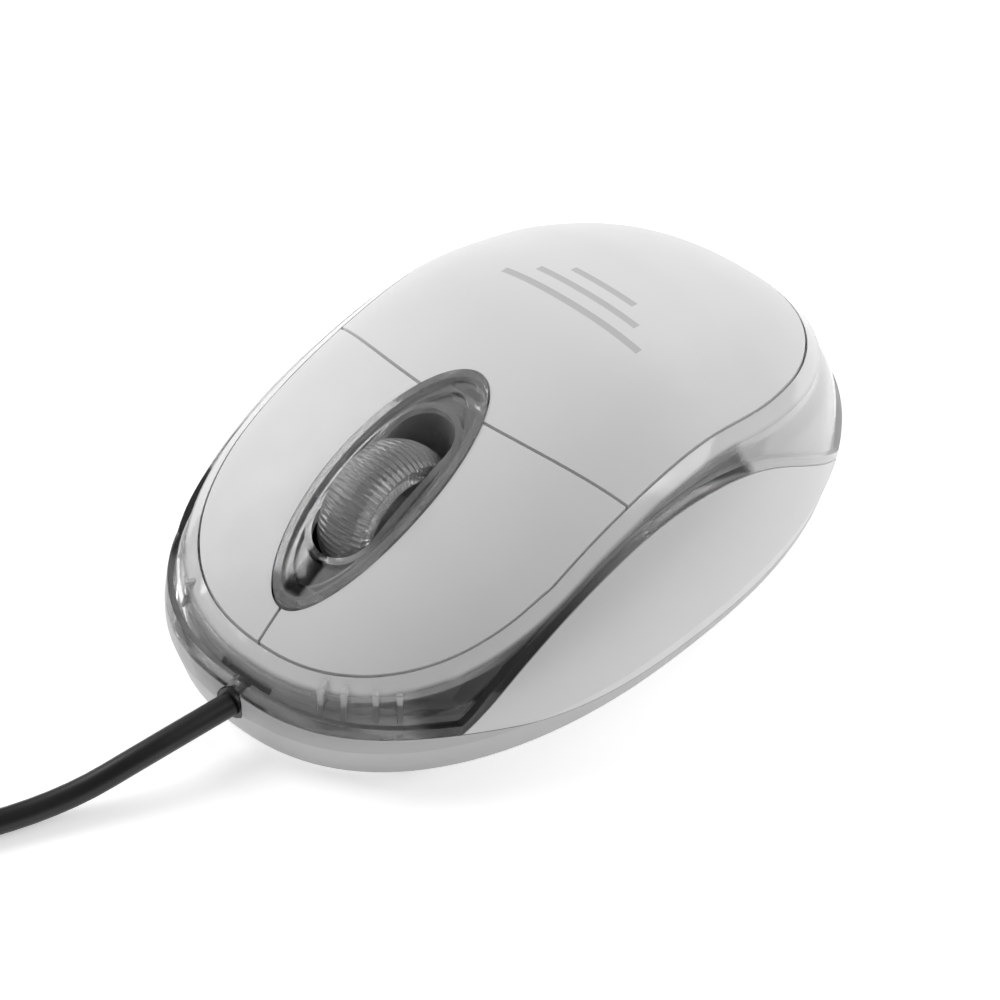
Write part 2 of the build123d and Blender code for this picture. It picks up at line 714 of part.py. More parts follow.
def inner_wires():
    """Four thin wires from the strain relief to the board's socket."""
    with BuildPart() as wires:
        for step in range(4):
            spread = step - 1.5
            start = (0.62 * (step % 2 * 2 - 1), -44.2, CABLE_EXIT_Z + 0.62 * (step // 2 * 2 - 1))
            points = [start, (1.2 * spread, -40.4, start[2] + 1.2), (1.7 * spread, -37.4, 8.9),
                      (1.7 * spread, -34.6, 8.9)]
            with BuildLine():
                path = FilletPolyline(points, radius=1.6)
            with BuildSketch(Plane(path @ 0, z_dir=path % 0)):
                Circle(0.45)
            sweep(path=path)
    return wires.part


def strain_relief():
    """Black grommet that grips the cable in the nose wall."""
    with BuildPart() as grommet:
        with BuildSketch(Plane.XZ.offset(-CABLE_EXIT_Y)):
            with Locations((0, CABLE_EXIT_Z)):
                Circle(2.0)
        extrude(amount=-4.2)
        with BuildSketch(Plane.XZ.offset(45.4)):
            with Locations((0, CABLE_EXIT_Z)):
                RectangleRounded(6.6, 4.0, 0.8)
        extrude(amount=-1.4)
    return grommet.part


def base_screw():
    """Pan-head screw up through the base into the palm cover's boss."""
    with BuildPart() as screw:
        with BuildSketch(Plane.XY.offset(0.8)):
            with Locations((0, SCREW_Y)):
                Circle(2.2)
        extrude(amount=1.8)
        with BuildSketch(Plane.XY.offset(0.8)):
            with Locations((0, SCREW_Y)):
                Rectangle(2.4, 0.6)
                Rectangle(0.6, 2.4)
        extrude(amount=0.8, mode=Mode.SUBTRACT)
        with BuildSketch(Plane.XY.offset(2.6)):
            with Locations((0, SCREW_Y)):
                Circle(1.1)
        extrude(amount=12)
        chamfer(screw.faces().sort_by(Axis.Z)[-1].edges(), length=0.5)
    return screw.part


def corner_radii(points):
    """Largest gentle radius at each corner of a route: 0.45 of the shorter run over the half turn's tangent."""
    radii = []
    for before, corner, after in zip(points, points[1:], points[2:]):
        run_in, run_out = Vector(corner) - Vector(before), Vector(after) - Vector(corner)
        half_turn = radians(run_in.get_angle(run_out)) / 2
        radii.append(0.45 * min(run_in.length, run_out.length) / tan(half_turn))
    return radii


def cable_tube(points, name):
    """Round cable along straight runs joined by tangent arcs; its volume is checked as section times length."""
    radii = corner_radii(points)
    with BuildPart() as tube:
        with BuildLine():
            path = FilletPolyline(points, radius=radii)
        with BuildSketch(Plane(path @ 0, z_dir=path % 0)):
            Circle(CABLE_DIAMETER / 2)
        sweep(path=path)
    expected = pi * CABLE_DIAMETER**2 / 4 * path.length
    print(f"{name} radii {[round(r, 1) for r in radii]} length {path.length:.1f} "
          f"volume {tube.part.volume:.1f} expected {expected:.1f}")
    return tube.part, path.length


def cable_coil():
    """Outer shape of the put-away cable: a neat ring bundle on the desk."""
    with BuildPart() as coil:
        with BuildSketch(Plane.XZ):
            with Locations((COIL_RADIUS, COIL_LIFT + COIL_HEIGHT / 2)):
                RectangleRounded(COIL_BAND, COIL_HEIGHT, 2.8)
        revolve(axis=Axis.Z)
    return Pos(*COIL_CENTRE, 0) * coil.part


def cable_tie():
    """Flat tie strapped round the coil's bundle."""
    with BuildPart() as tie:
        with BuildSketch(Plane.XZ.offset(-2)):
            with Locations((COIL_RADIUS, COIL_LIFT + COIL_HEIGHT / 2)):
                RectangleRounded(COIL_BAND + 2.2, COIL_HEIGHT + 1.6, 1.6)
                RectangleRounded(COIL_BAND + 0.6, COIL_HEIGHT + 0.1, 1.0, mode=Mode.SUBTRACT)
        extrude(amount=4)
    return Pos(*COIL_CENTRE, 0) * Rot(0, 0, 160) * tie.part


def plug_frame():
    """Place and heading of the plug: +X runs from the cable towards its open end."""
    return Pos(*TAIL_ROUTE[-1]) * Rot(0, 0, PLUG_HEADING)


def usb_plug_body():
    """Moulded plug handle with a tapered, ringed cable end."""
    with BuildPart() as handle:
        with BuildSketch(Plane.YZ.offset(8)):
            RectangleRounded(PLUG_WIDTH, PLUG_HEIGHT, 2.0)
        extrude(amount=PLUG_LENGTH - 8)
        with BuildSketch(Plane.YZ.offset(8)):
            RectangleRounded(PLUG_WIDTH - 4, PLUG_HEIGHT - 1.4, 1.8)
        with BuildSketch(Plane.YZ.offset(4)):
            Circle(2.4)
        loft()
        with BuildSketch(Plane.YZ):
            Circle(2.2)
        extrude(amount=4)
        with BuildSketch(Plane.YZ.offset(PLUG_LENGTH)):
            Rectangle(12.0, 4.5)
        extrude(amount=-7, mode=Mode.SUBTRACT)
    return plug_frame() * handle.part


def usb_plug_shell():
    """Metal shell of the plug with its two square latch holes."""
    with BuildPart() as shell:
        with BuildSketch(Plane.YZ.offset(PLUG_LENGTH - 7)):
            Rectangle(12.0, 4.5)
            Rectangle(11.2, 3.7, mode=Mode.SUBTRACT)
        extrude(amount=7 + 12)
        with BuildSketch(Plane.XY.offset(-4)):
            with Locations((PLUG_LENGTH + 5, 2.7), (PLUG_LENGTH + 5, -2.7)):
                Rectangle(2.4, 2.2)
        extrude(amount=8, mode=Mode.SUBTRACT)
    return plug_frame() * shell.part


def usb_plug_tongue():
    """Insulating tongue that half fills the plug's shell."""
    with BuildPart() as tongue:
        with BuildSketch(Plane.YZ.offset(PLUG_LENGTH - 7)):
            with Locations((0, -0.9)):
                Rectangle(11.2, 1.9)
        extrude(amount=7 + 11.6)
    return plug_frame() * tongue.part


def usb_contacts():
    """Four flat contacts on the plug's tongue."""
    with BuildPart() as contacts:
        with BuildSketch(Plane.XY.offset(0.05)):
            with Locations((PLUG_LENGTH + 6, 0)):
                with GridLocations(1, 2.3, 1, 4):
                    Rectangle(8.4, 1.1)
        extrude(amount=0.25)
    return plug_frame() * contacts.part


def build():
    """Make every sub-part and write it to parts/."""
    os.makedirs("parts", exist_ok=True)
    save(bottom_shell(), "bottom_shell")
    save(glide_feet(), "glide_feet")
    save(clear_housing(), "clear_housing")
    save(palm_cover(), "palm_cover")
    for side, word in ((1, "left"), (-1, "right")):
        save(side_panel(side), f"{word}_side_panel")
        save(button(side), f"{word}_button")
        save(switch_body(side * SWITCH_X, SWITCH_Y), f"{word}_switch_body")
        save(switch_plunger(side * SWITCH_X, SWITCH_Y), f"{word}_switch_plunger")
    save(wheel_bezel(), "wheel_bezel")
    save(scroll_wheel(), "scroll_wheel")
    save(wheel_axle(), "wheel_axle")
    save(wheel_carrier(), "wheel_carrier")
    save(encoder_body(), "encoder_body")
    save(encoder_rotor(), "encoder_rotor")
    save(switch_body(CARRIER_X, middle_switch_y()), "middle_switch_body")
    save(switch_plunger(CARRIER_X, middle_switch_y()), "middle_switch_plunger")
    save(circuit_board(), "circuit_board")
    save(sensor_chip(), "sensor_chip")
    save(sensor_lens(), "sensor_lens")
    save(led(), "led")
    save(led_clip(), "led_clip")
    save(capacitor(), "capacitor")
    save(chip_resistors(), "chip_resistors")
    save(cable_socket(), "cable_socket")
    save(inner_wires(), "inner_wires")
    save(base_screw(), "base_screw")
    save(strain_relief(), "strain_relief")
    cable, cable_run = cable_tube(ROUTE, "cable")
    tail, tail_run = cable_tube(TAIL_ROUTE, "cable_tail")
    save(cable, "cable")
    save(tail, "cable_tail")
    save(cable_coil(), "cable_coil")
    save(cable_tie(), "cable_tie")
    save(usb_plug_body(), "usb_plug_body")
    save(usb_plug_shell(), "usb_plug_shell")
    save(usb_plug_tongue(), "usb_plug_tongue")
    save(usb_contacts(), "usb_contacts")
    turns = (CABLE_LENGTH - cable_run - tail_run) / (2 * pi * COIL_RADIUS)
    print(f"{len(SAVED)} sub-parts; the coil stands for {turns:.1f} turns")


build()
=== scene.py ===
"""Looks of the small wired optical mouse: materials, the free cable, light and camera. Metres."""
from math import cos, radians, sin

import bmesh
import bpy
from mathutils import Matrix, Vector


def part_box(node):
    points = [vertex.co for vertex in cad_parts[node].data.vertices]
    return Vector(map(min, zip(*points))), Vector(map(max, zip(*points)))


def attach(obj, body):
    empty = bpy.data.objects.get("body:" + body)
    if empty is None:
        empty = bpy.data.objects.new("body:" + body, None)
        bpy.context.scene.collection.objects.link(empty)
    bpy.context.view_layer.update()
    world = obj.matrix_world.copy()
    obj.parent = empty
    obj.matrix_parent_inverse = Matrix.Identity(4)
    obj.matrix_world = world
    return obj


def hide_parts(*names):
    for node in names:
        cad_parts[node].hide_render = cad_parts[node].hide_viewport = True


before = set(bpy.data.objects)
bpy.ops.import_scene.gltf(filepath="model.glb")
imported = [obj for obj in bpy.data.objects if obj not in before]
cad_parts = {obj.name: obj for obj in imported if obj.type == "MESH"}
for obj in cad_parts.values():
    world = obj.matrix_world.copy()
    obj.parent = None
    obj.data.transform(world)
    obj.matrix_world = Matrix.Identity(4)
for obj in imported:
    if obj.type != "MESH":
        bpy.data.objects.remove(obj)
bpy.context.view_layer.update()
MM = 0.001

# Camera: seen from the front and the mouse's left side, about 42 degrees up, through a long lens
VIEW_AZIMUTH = 42.98
VIEW_ELEVATION = 42.38
VIEW_DISTANCE = 0.4568
VIEW_TARGET = Vector((0.0, 0.0, 0.012))
LENS_TO_WIDTH = 3.721
SENSOR_WIDTH = 36.0
FRAME_SHIFT = (-0.0122, -0.0421)
NEAREST_SEEN = 0.01

# Stage: a floor that glows a little, a dim white world, and three square lamps aimed at the mouse
FLOOR_REACH = 3.0
FLOOR_GREY = (0.9, 0.9, 0.9)
FLOOR_GLOW = 0.48
WORLD_GLOW = 0.18
LAMP_SIDE = 0.5
LAMPS = [("left", (-0.72, -0.18, 0.55), 5.6),
         ("back", (0.0, 0.75, 0.55), 2.5),
         ("right", (0.50, 0.50, 0.60), 2.6)]
WHITE = (1, 1, 1)

# Cable, in millimetres: the free run from the nose as in the CAD, and a tail that follows the
# CAD's tail but lies down on the desk between the coil and the plug
CABLE_DIAMETER = 3.0 * MM
ROUTE = [
    (0.0, -48.4, 5.4),
    (-1.5, -58.5, 5.0),
    (-5.5, -71.0, 1.7),
    (-13.0, -86.0, 1.6),
    (-24.5, -98.6, 1.8),
    (-31.7, -106.3, 2.3),
]
TAIL_ROUTE = [
    (-63.6, -101.4, 11.5),
    (-69.2, -90.4, 8.6),
    (-74.2, -76.9, 3.4),
    (-68.2, -63.5, 5.2),
    (-52.5, -60.4, 13.0),
    (-40.0, -69.0, 17.0),
    (-40.0, -77.0, 17.0),
]

# Coil, in millimetres and degrees: turns stacked in columns and rows, wound clockwise from the
# start angle, with an arc over which one turn shifts to the place of the next
COIL_CENTRE = (-46.0, -93.0)
COIL_RADIUS = 16.5
COIL_PITCH = 3.06
COIL_FLOOR = 2.3
COIL_COLUMNS = 3
COIL_ROWS = 4
POINTS_PER_TURN = 20
START_ANGLE = -43.0
LAST_ARC = 111.6
SHIFT_ARC = 54.0

# Pad print on the palm cover: plain bars, each with its place along Y and its half-length
PRINT_X = 0.8 * MM
PRINT_HALF_BAR = 0.55 * MM
PRINT_BARS = [(9.5 * MM, 11.0 * MM), (12.5 * MM, 8.0 * MM), (15.5 * MM, 5.0 * MM)]
PRINT_GREY = (0.55, 0.55, 0.55)

# Ridge round the covers, in plan: straight sides between two superellipse ends. The last pair
# is where its soft edge starts and ends, as a share of the ridge's own size.
RIDGE_HALF_WIDTH = 25.3 * MM
RIDGE_FRONT_Y = -15.0 * MM
RIDGE_FRONT_REACH = 30.1 * MM
RIDGE_REAR_Y = 12.0 * MM
RIDGE_REAR_REACH = 32.5 * MM
RIDGE_POWER = 2.3
RIDGE_EDGE = (0.97, 1.03)

# Clear band: how clear it is on its ledge, in its groove and at the rear, and the painted shade, a
# dark tint over the hollow beside the nose. Each pair is the start and end of a slope along Y.
LEDGE_CLARITY = 0.22
GROOVE_CLARITY = 0.97
REAR_CLARITY = 0.48
REAR_SLOPE = (11.5 * MM, 13.5 * MM)
BAND_CLEAR = (0.90, 0.90, 0.90)
BAND_PAINTED_SHADE = (0.30, 0.30, 0.30)
HOLLOW_FRONT = (-38.5 * MM, -36.0 * MM)
HOLLOW_REAR = (-24.0 * MM, -6.0 * MM)

# Wheel bezel: a little cloudy, with painted shade over the gap in front of the wheel, its slopes as
# above
BEZEL_CLARITY = 0.80
BEZEL_CLEAR = (0.88, 0.88, 0.88)
BEZEL_PAINTED_SHADE = (0.10, 0.10, 0.10)
GAP_LEFT = (-2.0 * MM, -1.4 * MM)
GAP_RIGHT = (0.6 * MM, 1.2 * MM)
GAP_FRONT = (-37.9 * MM, -37.2 * MM)
GAP_REAR = (-32.2 * MM, -31.2 * MM)

# Wheel tread
WHEEL_RIBS = 68
RIB_DEPTH = 0.17 * MM
RIB_STRENGTH = 0.8

# Upright webs inside the clear band: place in millimetres, turn in plan in degrees, and lowest
# and highest point in millimetres. The flank's webs are mirrored to the other flank.
WEB_LENGTH = 2.6 * MM
WEB_THICKNESS = 0.8 * MM
WEB_ROUNDING = 0.2 * MM
NOSE_WEBS = [
    (10.2, -42.8, -70, 7.2, 12.0),
    (12.6, -41.5, -65, 7.2, 12.0),
    (15.4, -39.3, -57, 7.2, 12.0),
    (17.4, -37.5, -52, 7.2, 12.0),
    (-13.0, -41.2, -116, 7.2, 12.0),
    (-18.4, -36.2, -131, 7.2, 12.0),
]
FLANK_WEBS = [
    (26.6, -5.0, 0, 15.4, 17.8),
    (26.6, 3.6, 0, 15.8, 18.2),
]

# Noise textures: features per metre and octaves, and the part of their range that is used
MOTTLING = (90, 4)
GLOSS = (260, 3)
HAZE = (320, 3)
RIPPLE = (420, 2)
STAINS = (500, 4)
RUBBING = (700, 3)
GRAIN_DETAIL = 2
NOISE_LOW = 0.3
NOISE_HIGH = 0.7

# Clear plastic: its refractive index and the height of its uneven surface
PLASTIC_IOR = 1.49
RIPPLE_HEIGHT = 0.03 * MM

# Finish of the white covers, shared by the buttons and the printed palm cover
COVER = {"colour": (0.78, 0.78, 0.78), "roughness": 0.52, "grain": 0.03 * MM, "grain_scale": 3200,
         "spots": 0.02}


def new_material(name):
    """Node material with its nodes and its links."""
    material = bpy.data.materials.new(name)
    material.use_nodes = True
    return material, *tree_of(material)


def tree_of(material):
    """Nodes and links of a material."""
    return material.node_tree.nodes, material.node_tree.links


def object_point(nodes):
    """Object coordinates in metres."""
    return nodes.new("ShaderNodeTexCoord").outputs["Object"]


def place_on(nodes, links, axis):
    """Coordinate along one axis in metres."""
    place = nodes.new("ShaderNodeSeparateXYZ")
    links.new(object_point(nodes), place.inputs["Vector"])
    return place.outputs[axis]


def maths(nodes, links, operation, *operands):
    """Result of a maths node; each operand is a socket or a number."""
    node = nodes.new("ShaderNodeMath")
    node.operation = operation
    for socket, value in zip(node.inputs, operands):
        if isinstance(value, (int, float)):
            socket.default_value = value
        else:
            links.new(value, socket)
    return node.outputs["Value"]


def noise(nodes, links, scale, detail):
    """Noise over object coordinates; scale is in features per metre, detail in octaves."""
    texture = nodes.new("ShaderNodeTexNoise")
    texture.inputs["Scale"].default_value = scale
    texture.inputs["Detail"].default_value = detail
    links.new(object_point(nodes), texture.inputs["Vector"])
    return texture.outputs["Fac"]


def remapped(nodes, links, value, source, target, smooth=False):
    """Value mapped from the source pair to the target pair, and held at the target's ends."""
    remap = nodes.new("ShaderNodeMapRange")
    remap.interpolation_type = "SMOOTHSTEP" if smooth else "LINEAR"
    remap.inputs["From Min"].default_value, remap.inputs["From Max"].default_value = source
    remap.inputs["To Min"].default_value, remap.inputs["To Max"].default_value = target
    links.new(value, remap.inputs["Value"])
    return remap.outputs["Result"]


def spread(nodes, links, value, low, high):
    """Maps a noise value to a range."""
    return remapped(nodes, links, value, (NOISE_LOW, NOISE_HIGH), (low, high))


def ramp(nodes, links, value, slope, low, high):
    """Smooth change from low to high as a value goes up a slope, given as its start and end."""
    return remapped(nodes, links, value, slope, (low, high), smooth=True)


def window(nodes, links, value, rise, fall):
    """One between a rise and a fall, zero outside them."""
    inside = ramp(nodes, links, value, rise, 0, 1)
    return maths(nodes, links, "MULTIPLY", inside, ramp(nodes, links, value, fall, 1, 0))


def blend(nodes, links, factor, first, second):
    """Colour between two colours by a factor; the first can be a socket."""
    mix = nodes.new("ShaderNodeMix")
    mix.data_type = "RGBA"
    if isinstance(first, tuple):
        mix.inputs["A"].default_value = (*first, 1)
    else:
        links.new(first, mix.inputs["A"])
    mix.inputs["B"].default_value = (*second, 1)
    links.new(factor, mix.inputs["Factor"])
    return mix.outputs["Result"]


def bumped(nodes, links, height, distance, strength=0.3):
    """Normal from a height value; distance is in metres."""
    bump = nodes.new("ShaderNodeBump")
    bump.inputs["Strength"].default_value = strength
    bump.inputs["Distance"].default_value = distance
    links.new(height, bump.inputs["Height"])
    return bump.outputs["Normal"]


def moulded_plastic(name, colour, roughness=0.4, grain=0.02 * MM, grain_scale=4500, spots=0.03):
    """Opaque moulded plastic with faint mottling, a fine grain and uneven gloss."""
    material, nodes, links = new_material(name)
    shader = nodes["Principled BSDF"]
    darker = tuple(c * (1 - spots) for c in colour)
    cloud = spread(nodes, links, noise(nodes, links, *MOTTLING), 0, 1)
    links.new(blend(nodes, links, cloud, darker, colour), shader.inputs["Base Color"])
    gloss = spread(nodes, links, noise(nodes, links, *GLOSS), roughness - 0.04, roughness + 0.05)
    links.new(gloss, shader.inputs["Roughness"])
    fine = noise(nodes, links, grain_scale, GRAIN_DETAIL)
    links.new(bumped(nodes, links, fine, grain), shader.inputs["Normal"])
    return material


def printed_cover():
    """Soft white cover with a plain pad print: parallel grey bars across the palm."""
    material = moulded_plastic("printed_white", **COVER)
    nodes, links = tree_of(material)
    base = nodes["Principled BSDF"].inputs["Base Color"]
    plain = base.links[0].from_socket
    x, y = place_on(nodes, links, "X"), place_on(nodes, links, "Y")
    ink = 0.0
    for bar_y, reach in PRINT_BARS:
        across = maths(nodes, links, "COMPARE", x, PRINT_X, reach)
        along = maths(nodes, links, "COMPARE", y, bar_y, PRINT_HALF_BAR)
        ink = maths(nodes, links, "ADD", maths(nodes, links, "MULTIPLY", across, along), ink)
    links.new(blend(nodes, links, ink, plain, PRINT_GREY), base)
    return material


def clear_plastic(name, colour=(0.93, 0.94, 0.95), roughness=0.03, clarity=1.0):
    """Clear moulded plastic with an uneven surface."""
    material, nodes, links = new_material(name)
    shader = nodes["Principled BSDF"]
    shader.inputs["Base Color"].default_value = (*colour, 1)
    shader.inputs["IOR"].default_value = PLASTIC_IOR
    shader.inputs["Transmission Weight"].default_value = clarity
    haze = spread(nodes, links, noise(nodes, links, *HAZE), roughness, roughness + 0.05)
    links.new(haze, shader.inputs["Roughness"])
    wave = noise(nodes, links, *RIPPLE)
    links.new(bumped(nodes, links, wave, RIPPLE_HEIGHT), shader.inputs["Normal"])
    return material


def beyond_ridge(nodes, links):
    """Zero on the ledge beside the covers, one outside the ridge that runs round them."""
    along = place_on(nodes, links, "Y")
    across = maths(nodes, links, "ABSOLUTE", place_on(nodes, links, "X"))
    ahead = maths(nodes, links, "MAXIMUM", maths(nodes, links, "SUBTRACT", RIDGE_FRONT_Y, along), 0)
    behind = maths(nodes, links, "MAXIMUM", maths(nodes, links, "SUBTRACT", along, RIDGE_REAR_Y), 0)
    total = 0.0
    for distance, reach in ((across, RIDGE_HALF_WIDTH), (ahead, RIDGE_FRONT_REACH),
                            (behind, RIDGE_REAR_REACH)):
        part = maths(nodes, links, "DIVIDE", distance, reach)
        total = maths(nodes, links, "ADD", maths(nodes, links, "POWER", part, RIDGE_POWER), total)
    return ramp(nodes, links, total, RIDGE_EDGE, 0, 1)


def band_plastic():
    """Housing plastic: milky on its ledge and at the rear, clear in its groove and at the nose,
    and painted shade over the hollow beside the nose: a dark tint in place of the shade inside."""
    material = clear_plastic("clear_band", BAND_CLEAR, 0.05)
    nodes, links = tree_of(material)
    shader = nodes["Principled BSDF"]
    outside = beyond_ridge(nodes, links)
    along = place_on(nodes, links, "Y")
    clarity = nodes.new("ShaderNodeMix")
    clarity.inputs["A"].default_value = LEDGE_CLARITY
    groove = ramp(nodes, links, along, REAR_SLOPE, GROOVE_CLARITY, REAR_CLARITY)
    links.new(groove, clarity.inputs["B"])
    links.new(outside, clarity.inputs["Factor"])
    links.new(clarity.outputs["Result"], shader.inputs["Transmission Weight"])
    # Painted shade: a dark tint over the hollow beside the nose, outside the ridge
    hollow = window(nodes, links, along, HOLLOW_FRONT, HOLLOW_REAR)
    shade = maths(nodes, links, "MULTIPLY", hollow, outside)
    links.new(blend(nodes, links, shade, BAND_CLEAR, BAND_PAINTED_SHADE), shader.inputs["Base Color"])
    return material


def bezel_plastic():
    """Bezel plastic: a little cloudy, but clear over the gap in front of the wheel, with painted
    shade there.
    """
    material = clear_plastic("clear_bezel", BEZEL_CLEAR, 0.05)
    nodes, links = tree_of(material)
    shader = nodes["Principled BSDF"]
    # Painted shade: a dark tint over the gap in front of the wheel, where the shade beneath would
    # show
    across = window(nodes, links, place_on(nodes, links, "X"), GAP_LEFT, GAP_RIGHT)
    along = window(nodes, links, place_on(nodes, links, "Y"), GAP_FRONT, GAP_REAR)
    gap = maths(nodes, links, "MULTIPLY", across, along)
    clarity = ramp(nodes, links, gap, (0, 1), BEZEL_CLARITY, 1.0)
    links.new(clarity, shader.inputs["Transmission Weight"])
    links.new(blend(nodes, links, gap, BEZEL_CLEAR, BEZEL_PAINTED_SHADE), shader.inputs["Base Color"])
    return material


def tread_plastic():
    """Clear wheel plastic with fine moulded ribs across the tread."""
    material = clear_plastic("clear_tread", (0.95, 0.95, 0.95), 0.06, 0.78)
    nodes, links = tree_of(material)
    _, y, z = ((low + high) / 2 for low, high in zip(*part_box("scroll_wheel")))
    behind = maths(nodes, links, "SUBTRACT", place_on(nodes, links, "Y"), y)
    above = maths(nodes, links, "SUBTRACT", place_on(nodes, links, "Z"), z)
    angle = maths(nodes, links, "ARCTAN2", behind, above)
    wave = maths(nodes, links, "SINE", maths(nodes, links, "MULTIPLY", angle, WHEEL_RIBS))
    normal = bumped(nodes, links, wave, RIB_DEPTH, RIB_STRENGTH)
    links.new(normal, nodes["Principled BSDF"].inputs["Normal"])
    return material


def metal(name, colour, roughness):
    """Plated metal with faint rubbing marks."""
    material, nodes, links = new_material(name)
    shader = nodes["Principled BSDF"]
    shader.inputs["Metallic"].default_value = 1.0
    darker = tuple(c * 0.95 for c in colour)
    cloud = spread(nodes, links, noise(nodes, links, *STAINS), 0, 1)
    links.new(blend(nodes, links, cloud, darker, colour), shader.inputs["Base Color"])
    rub = spread(nodes, links, noise(nodes, links, *RUBBING), roughness, roughness + 0.05)
    links.new(rub, shader.inputs["Roughness"])
    return material


def paint(node, material):
    """Gives a CAD node one material."""
    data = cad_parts[node].data
    data.materials.clear()
    data.materials.append(material)


def paint_nodes():
    """Materials of the pieces that keep their CAD shape, and their colours and finishes."""
    cover = moulded_plastic("soft_white", **COVER)
    printed = printed_cover()
    shell = moulded_plastic("satin_white", (0.71, 0.71, 0.715), 0.34, 0.01 * MM, 5000, 0.02)
    # Painted shade: the bottom shell is the same white plastic as the side panels, made greyer to
    # stand in for the shade it sits in
    base = moulded_plastic("base_white_painted_shade", (0.53, 0.53, 0.535), 0.42, 0.02 * MM, 4000, 0.03)
    band = band_plastic()
    frosted = bezel_plastic()
    clear = clear_plastic("clear_lens")
    wheel = tread_plastic()
    nylon = moulded_plastic("nylon", (0.62, 0.63, 0.62), 0.4)
    black = moulded_plastic("black_moulding", (0.018, 0.018, 0.02), 0.38, 0.02 * MM, 3000, 0.3)
    grey = moulded_plastic("grey_moulding", (0.20, 0.20, 0.21), 0.42)
    board = moulded_plastic("solder_mask", (0.05, 0.055, 0.052), 0.28, 0.02 * MM, 900, 0.25)
    red = moulded_plastic("red_moulding", (0.25, 0.05, 0.04), 0.35)
    lamp = clear_plastic("tinted_epoxy", (0.9, 0.3, 0.25), 0.05)
    sleeve = moulded_plastic("capacitor_sleeve", (0.03, 0.035, 0.06), 0.25)
    pad = moulded_plastic("glide_tape", (0.09, 0.09, 0.10), 0.45, 0.02 * MM, 5000, 0.2)
    wires = moulded_plastic("wire_jackets", (0.30, 0.30, 0.30), 0.4)
    steel = metal("zinc_steel", (0.6, 0.6, 0.62), 0.25)
    nickel = metal("nickel", (0.72, 0.72, 0.73), 0.18)
    gold = metal("gold_flash", (0.85, 0.62, 0.25), 0.22)
    by_material = {
        cover: ["left_button", "right_button"],
        printed: ["palm_cover"],
        shell: ["left_side_panel", "right_side_panel"],
        base: ["bottom_shell"],
        band: ["clear_housing"],
        frosted: ["wheel_bezel"],
        clear: ["sensor_lens"],
        wheel: ["scroll_wheel"],
        nylon: ["wheel_axle", "wheel_carrier", "encoder_rotor", "cable_socket", "usb_plug_tongue"],
        black: ["left_switch_body", "right_switch_body", "middle_switch_body", "sensor_chip",
                "led_clip", "chip_resistors", "cable_tie", "usb_plug_body", "strain_relief"],
        grey: ["encoder_body"],
        board: ["circuit_board"],
        red: ["left_switch_plunger", "right_switch_plunger", "middle_switch_plunger"],
        lamp: ["led"],
        sleeve: ["capacitor"],
        pad: ["glide_feet"],
        wires: ["inner_wires"],
        steel: ["base_screw"],
        nickel: ["usb_plug_shell"],
        gold: ["usb_contacts"],
    }
    for material, nodes in by_material.items():
        for node in nodes:
            paint(node, material)


def band_webs():
    """Milky upright webs and snap tabs that show through the clear band."""
    mesh = bmesh.new()
    mirrored = [(-x, y, turn, low, high) for x, y, turn, low, high in FLANK_WEBS]
    for x, y, turn, low, high in NOSE_WEBS + FLANK_WEBS + mirrored:
        place = Matrix.Translation((x * MM, y * MM, (low + high) / 2 * MM))
        turned = Matrix.Rotation(radians(turn), 4, "Z")
        size = Matrix.Diagonal((WEB_LENGTH, WEB_THICKNESS, (high - low) * MM, 1))
        bmesh.ops.create_cube(mesh, size=1, matrix=place @ turned @ size)
    bmesh.ops.bevel(mesh, geom=mesh.edges[:], offset=WEB_ROUNDING, segments=3, affect="EDGES",
                    profile=0.5)
    data = bpy.data.meshes.new("band_webs")
    mesh.to_mesh(data)
    mesh.free()
    data.materials.append(clear_plastic("milky_web", (0.9, 0.9, 0.9), 0.08, 0.6))
    piece = bpy.data.objects.new("band_webs", data)
    bpy.context.scene.collection.objects.link(piece)
    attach(piece, "mouse_body")


def coil_slots():
    """Column and row of each turn: the rows are wound alternately inwards and outwards."""
    slots = []
    for row in range(COIL_ROWS):
        columns = range(COIL_COLUMNS) if row % 2 else reversed(range(COIL_COLUMNS))
        slots += [(column, row) for column in columns]
    return slots


def coil_points():
    """Control points of the put-away turns, each shifting smoothly to the next one's place."""
    slots = coil_slots()
    step = 360 / POINTS_PER_TURN
    bulge = 1 / cos(radians(step / 2))
    changes = []
    lag = 0.0
    for turn in range(1, len(slots)):
        if turn % COIL_COLUMNS in (0, 1) and turn >= COIL_COLUMNS:
            lag += SHIFT_ARC
        changes.append(360 * turn - lag)
    whole_turns = changes[-1] // 360
    total = 360 * whole_turns + LAST_ARC
    points = []
    angle = step
    while angle < total:
        passed = sum(angle >= change for change in changes)
        column, row = slots[passed]
        if passed < len(changes) and angle > changes[passed] - SHIFT_ARC:
            part = (angle - changes[passed] + SHIFT_ARC) / SHIFT_ARC
            next_column, next_row = slots[passed + 1]
            column += (next_column - column) * part
            row += (next_row - row) * part
        radius = (COIL_RADIUS + (column - (COIL_COLUMNS - 1) / 2) * COIL_PITCH) * bulge
        turned = radians(START_ANGLE - angle)
        points.append((COIL_CENTRE[0] + radius * cos(turned),
                       COIL_CENTRE[1] + radius * sin(turned),
                       COIL_FLOOR + row * COIL_PITCH))
        angle += step
    return points


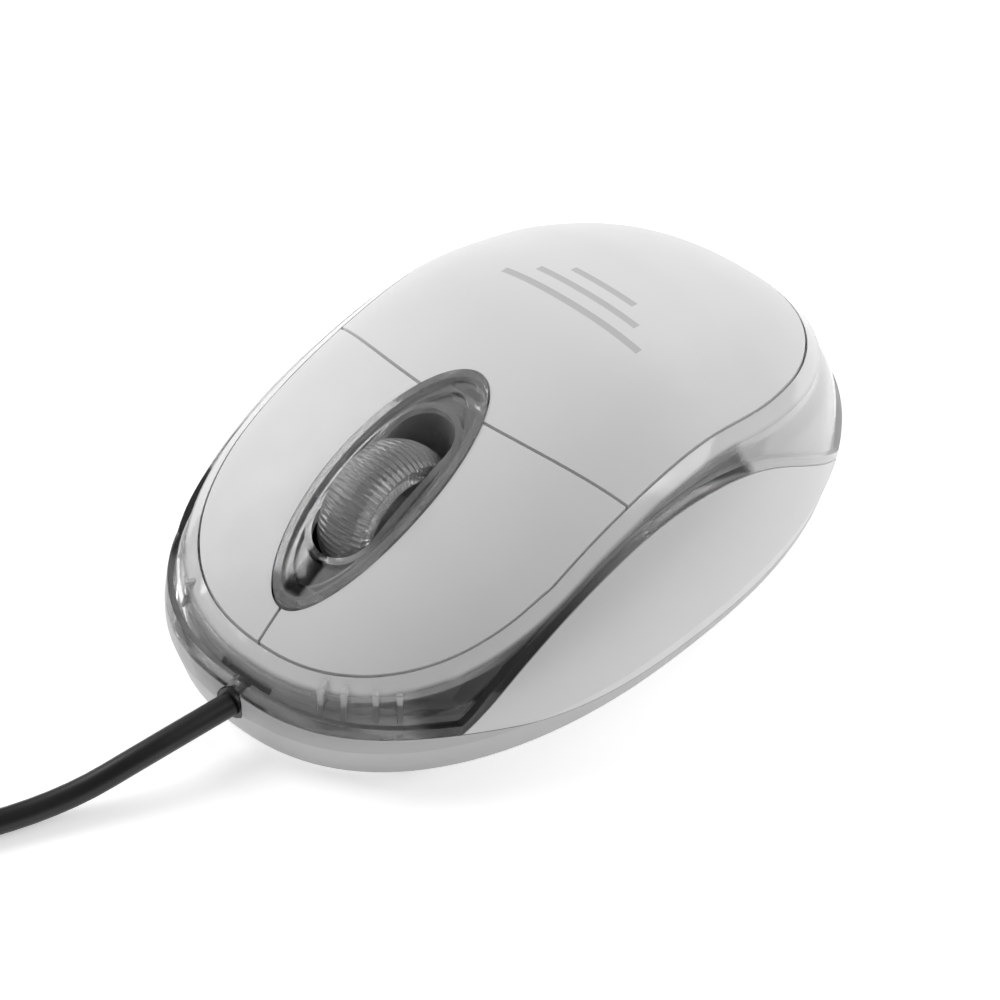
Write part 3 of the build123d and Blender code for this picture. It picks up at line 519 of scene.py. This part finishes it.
def cable():
    """The free cable: out of the nose, along the desk, round its coil and on to the plug."""
    points = ROUTE + coil_points() + TAIL_ROUTE
    curve = bpy.data.curves.new("free_cable", "CURVE")
    curve.dimensions = "3D"
    curve.bevel_depth = CABLE_DIAMETER / 2
    curve.bevel_resolution = 6
    curve.resolution_u = 6
    curve.use_fill_caps = True
    spline = curve.splines.new("NURBS")
    spline.points.add(len(points) - 1)
    for place, (x, y, z) in zip(spline.points, points):
        place.co = (x * MM, y * MM, z * MM, 1)
    spline.order_u = 3
    spline.use_endpoint_u = True
    jacket = moulded_plastic("cable_jacket", (0.012, 0.012, 0.013), 0.42, 0.03 * MM, 2600, 0.4)
    curve.materials.append(jacket)
    piece = bpy.data.objects.new("free_cable", curve)
    bpy.context.scene.collection.objects.link(piece)
    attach(piece, "mouse_body")
    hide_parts("cable", "cable_tail", "cable_coil")


def stage_and_light():
    """Pale floor and soft studio light."""
    signs = ((-1, -1), (1, -1), (1, 1), (-1, 1))
    corners = [(x * FLOOR_REACH, y * FLOOR_REACH, 0) for x, y in signs]
    floor_mesh = bpy.data.meshes.new("floor")
    floor_mesh.from_pydata(corners, [], [(0, 1, 2, 3)])
    floor = bpy.data.objects.new("floor", floor_mesh)
    bpy.context.scene.collection.objects.link(floor)
    material, nodes, _ = new_material("floor")
    shader = nodes["Principled BSDF"]
    shader.inputs["Base Color"].default_value = (*FLOOR_GREY, 1)
    shader.inputs["Roughness"].default_value = 0.8
    shader.inputs["Emission Color"].default_value = (*WHITE, 1)
    shader.inputs["Emission Strength"].default_value = FLOOR_GLOW
    floor_mesh.materials.append(material)

    world = bpy.data.worlds.new("studio")
    bpy.context.scene.world = world
    world.use_nodes = True
    world.node_tree.nodes["Background"].inputs["Color"].default_value = (*WHITE, 1)
    world.node_tree.nodes["Background"].inputs["Strength"].default_value = WORLD_GLOW

    for name, place, power in LAMPS:
        lamp = bpy.data.lights.new(name, "AREA")
        lamp.size = LAMP_SIDE
        lamp.energy = power
        light = bpy.data.objects.new(name, lamp)
        light.location = place
        light.rotation_euler = (VIEW_TARGET - Vector(place)).to_track_quat("-Z", "Y").to_euler()
        bpy.context.scene.collection.objects.link(light)


def camera():
    """Camera at the photo's view."""
    azimuth, elevation = radians(VIEW_AZIMUTH), radians(VIEW_ELEVATION)
    back = Vector((sin(azimuth) * cos(elevation), -cos(azimuth) * cos(elevation), sin(elevation)))
    data = bpy.data.cameras.new("camera")
    data.sensor_width = SENSOR_WIDTH
    data.lens = LENS_TO_WIDTH * SENSOR_WIDTH
    data.shift_x, data.shift_y = FRAME_SHIFT
    data.clip_start = NEAREST_SEEN
    eye = bpy.data.objects.new("camera", data)
    eye.location = VIEW_TARGET + back * VIEW_DISTANCE
    eye.rotation_euler = (-back).to_track_quat("-Z", "Y").to_euler()
    bpy.context.scene.collection.objects.link(eye)
    bpy.context.scene.camera = eye


paint_nodes()
band_webs()
cable()
stage_and_light()
camera()
bpy.context.scene.view_settings.view_transform = "Standard"
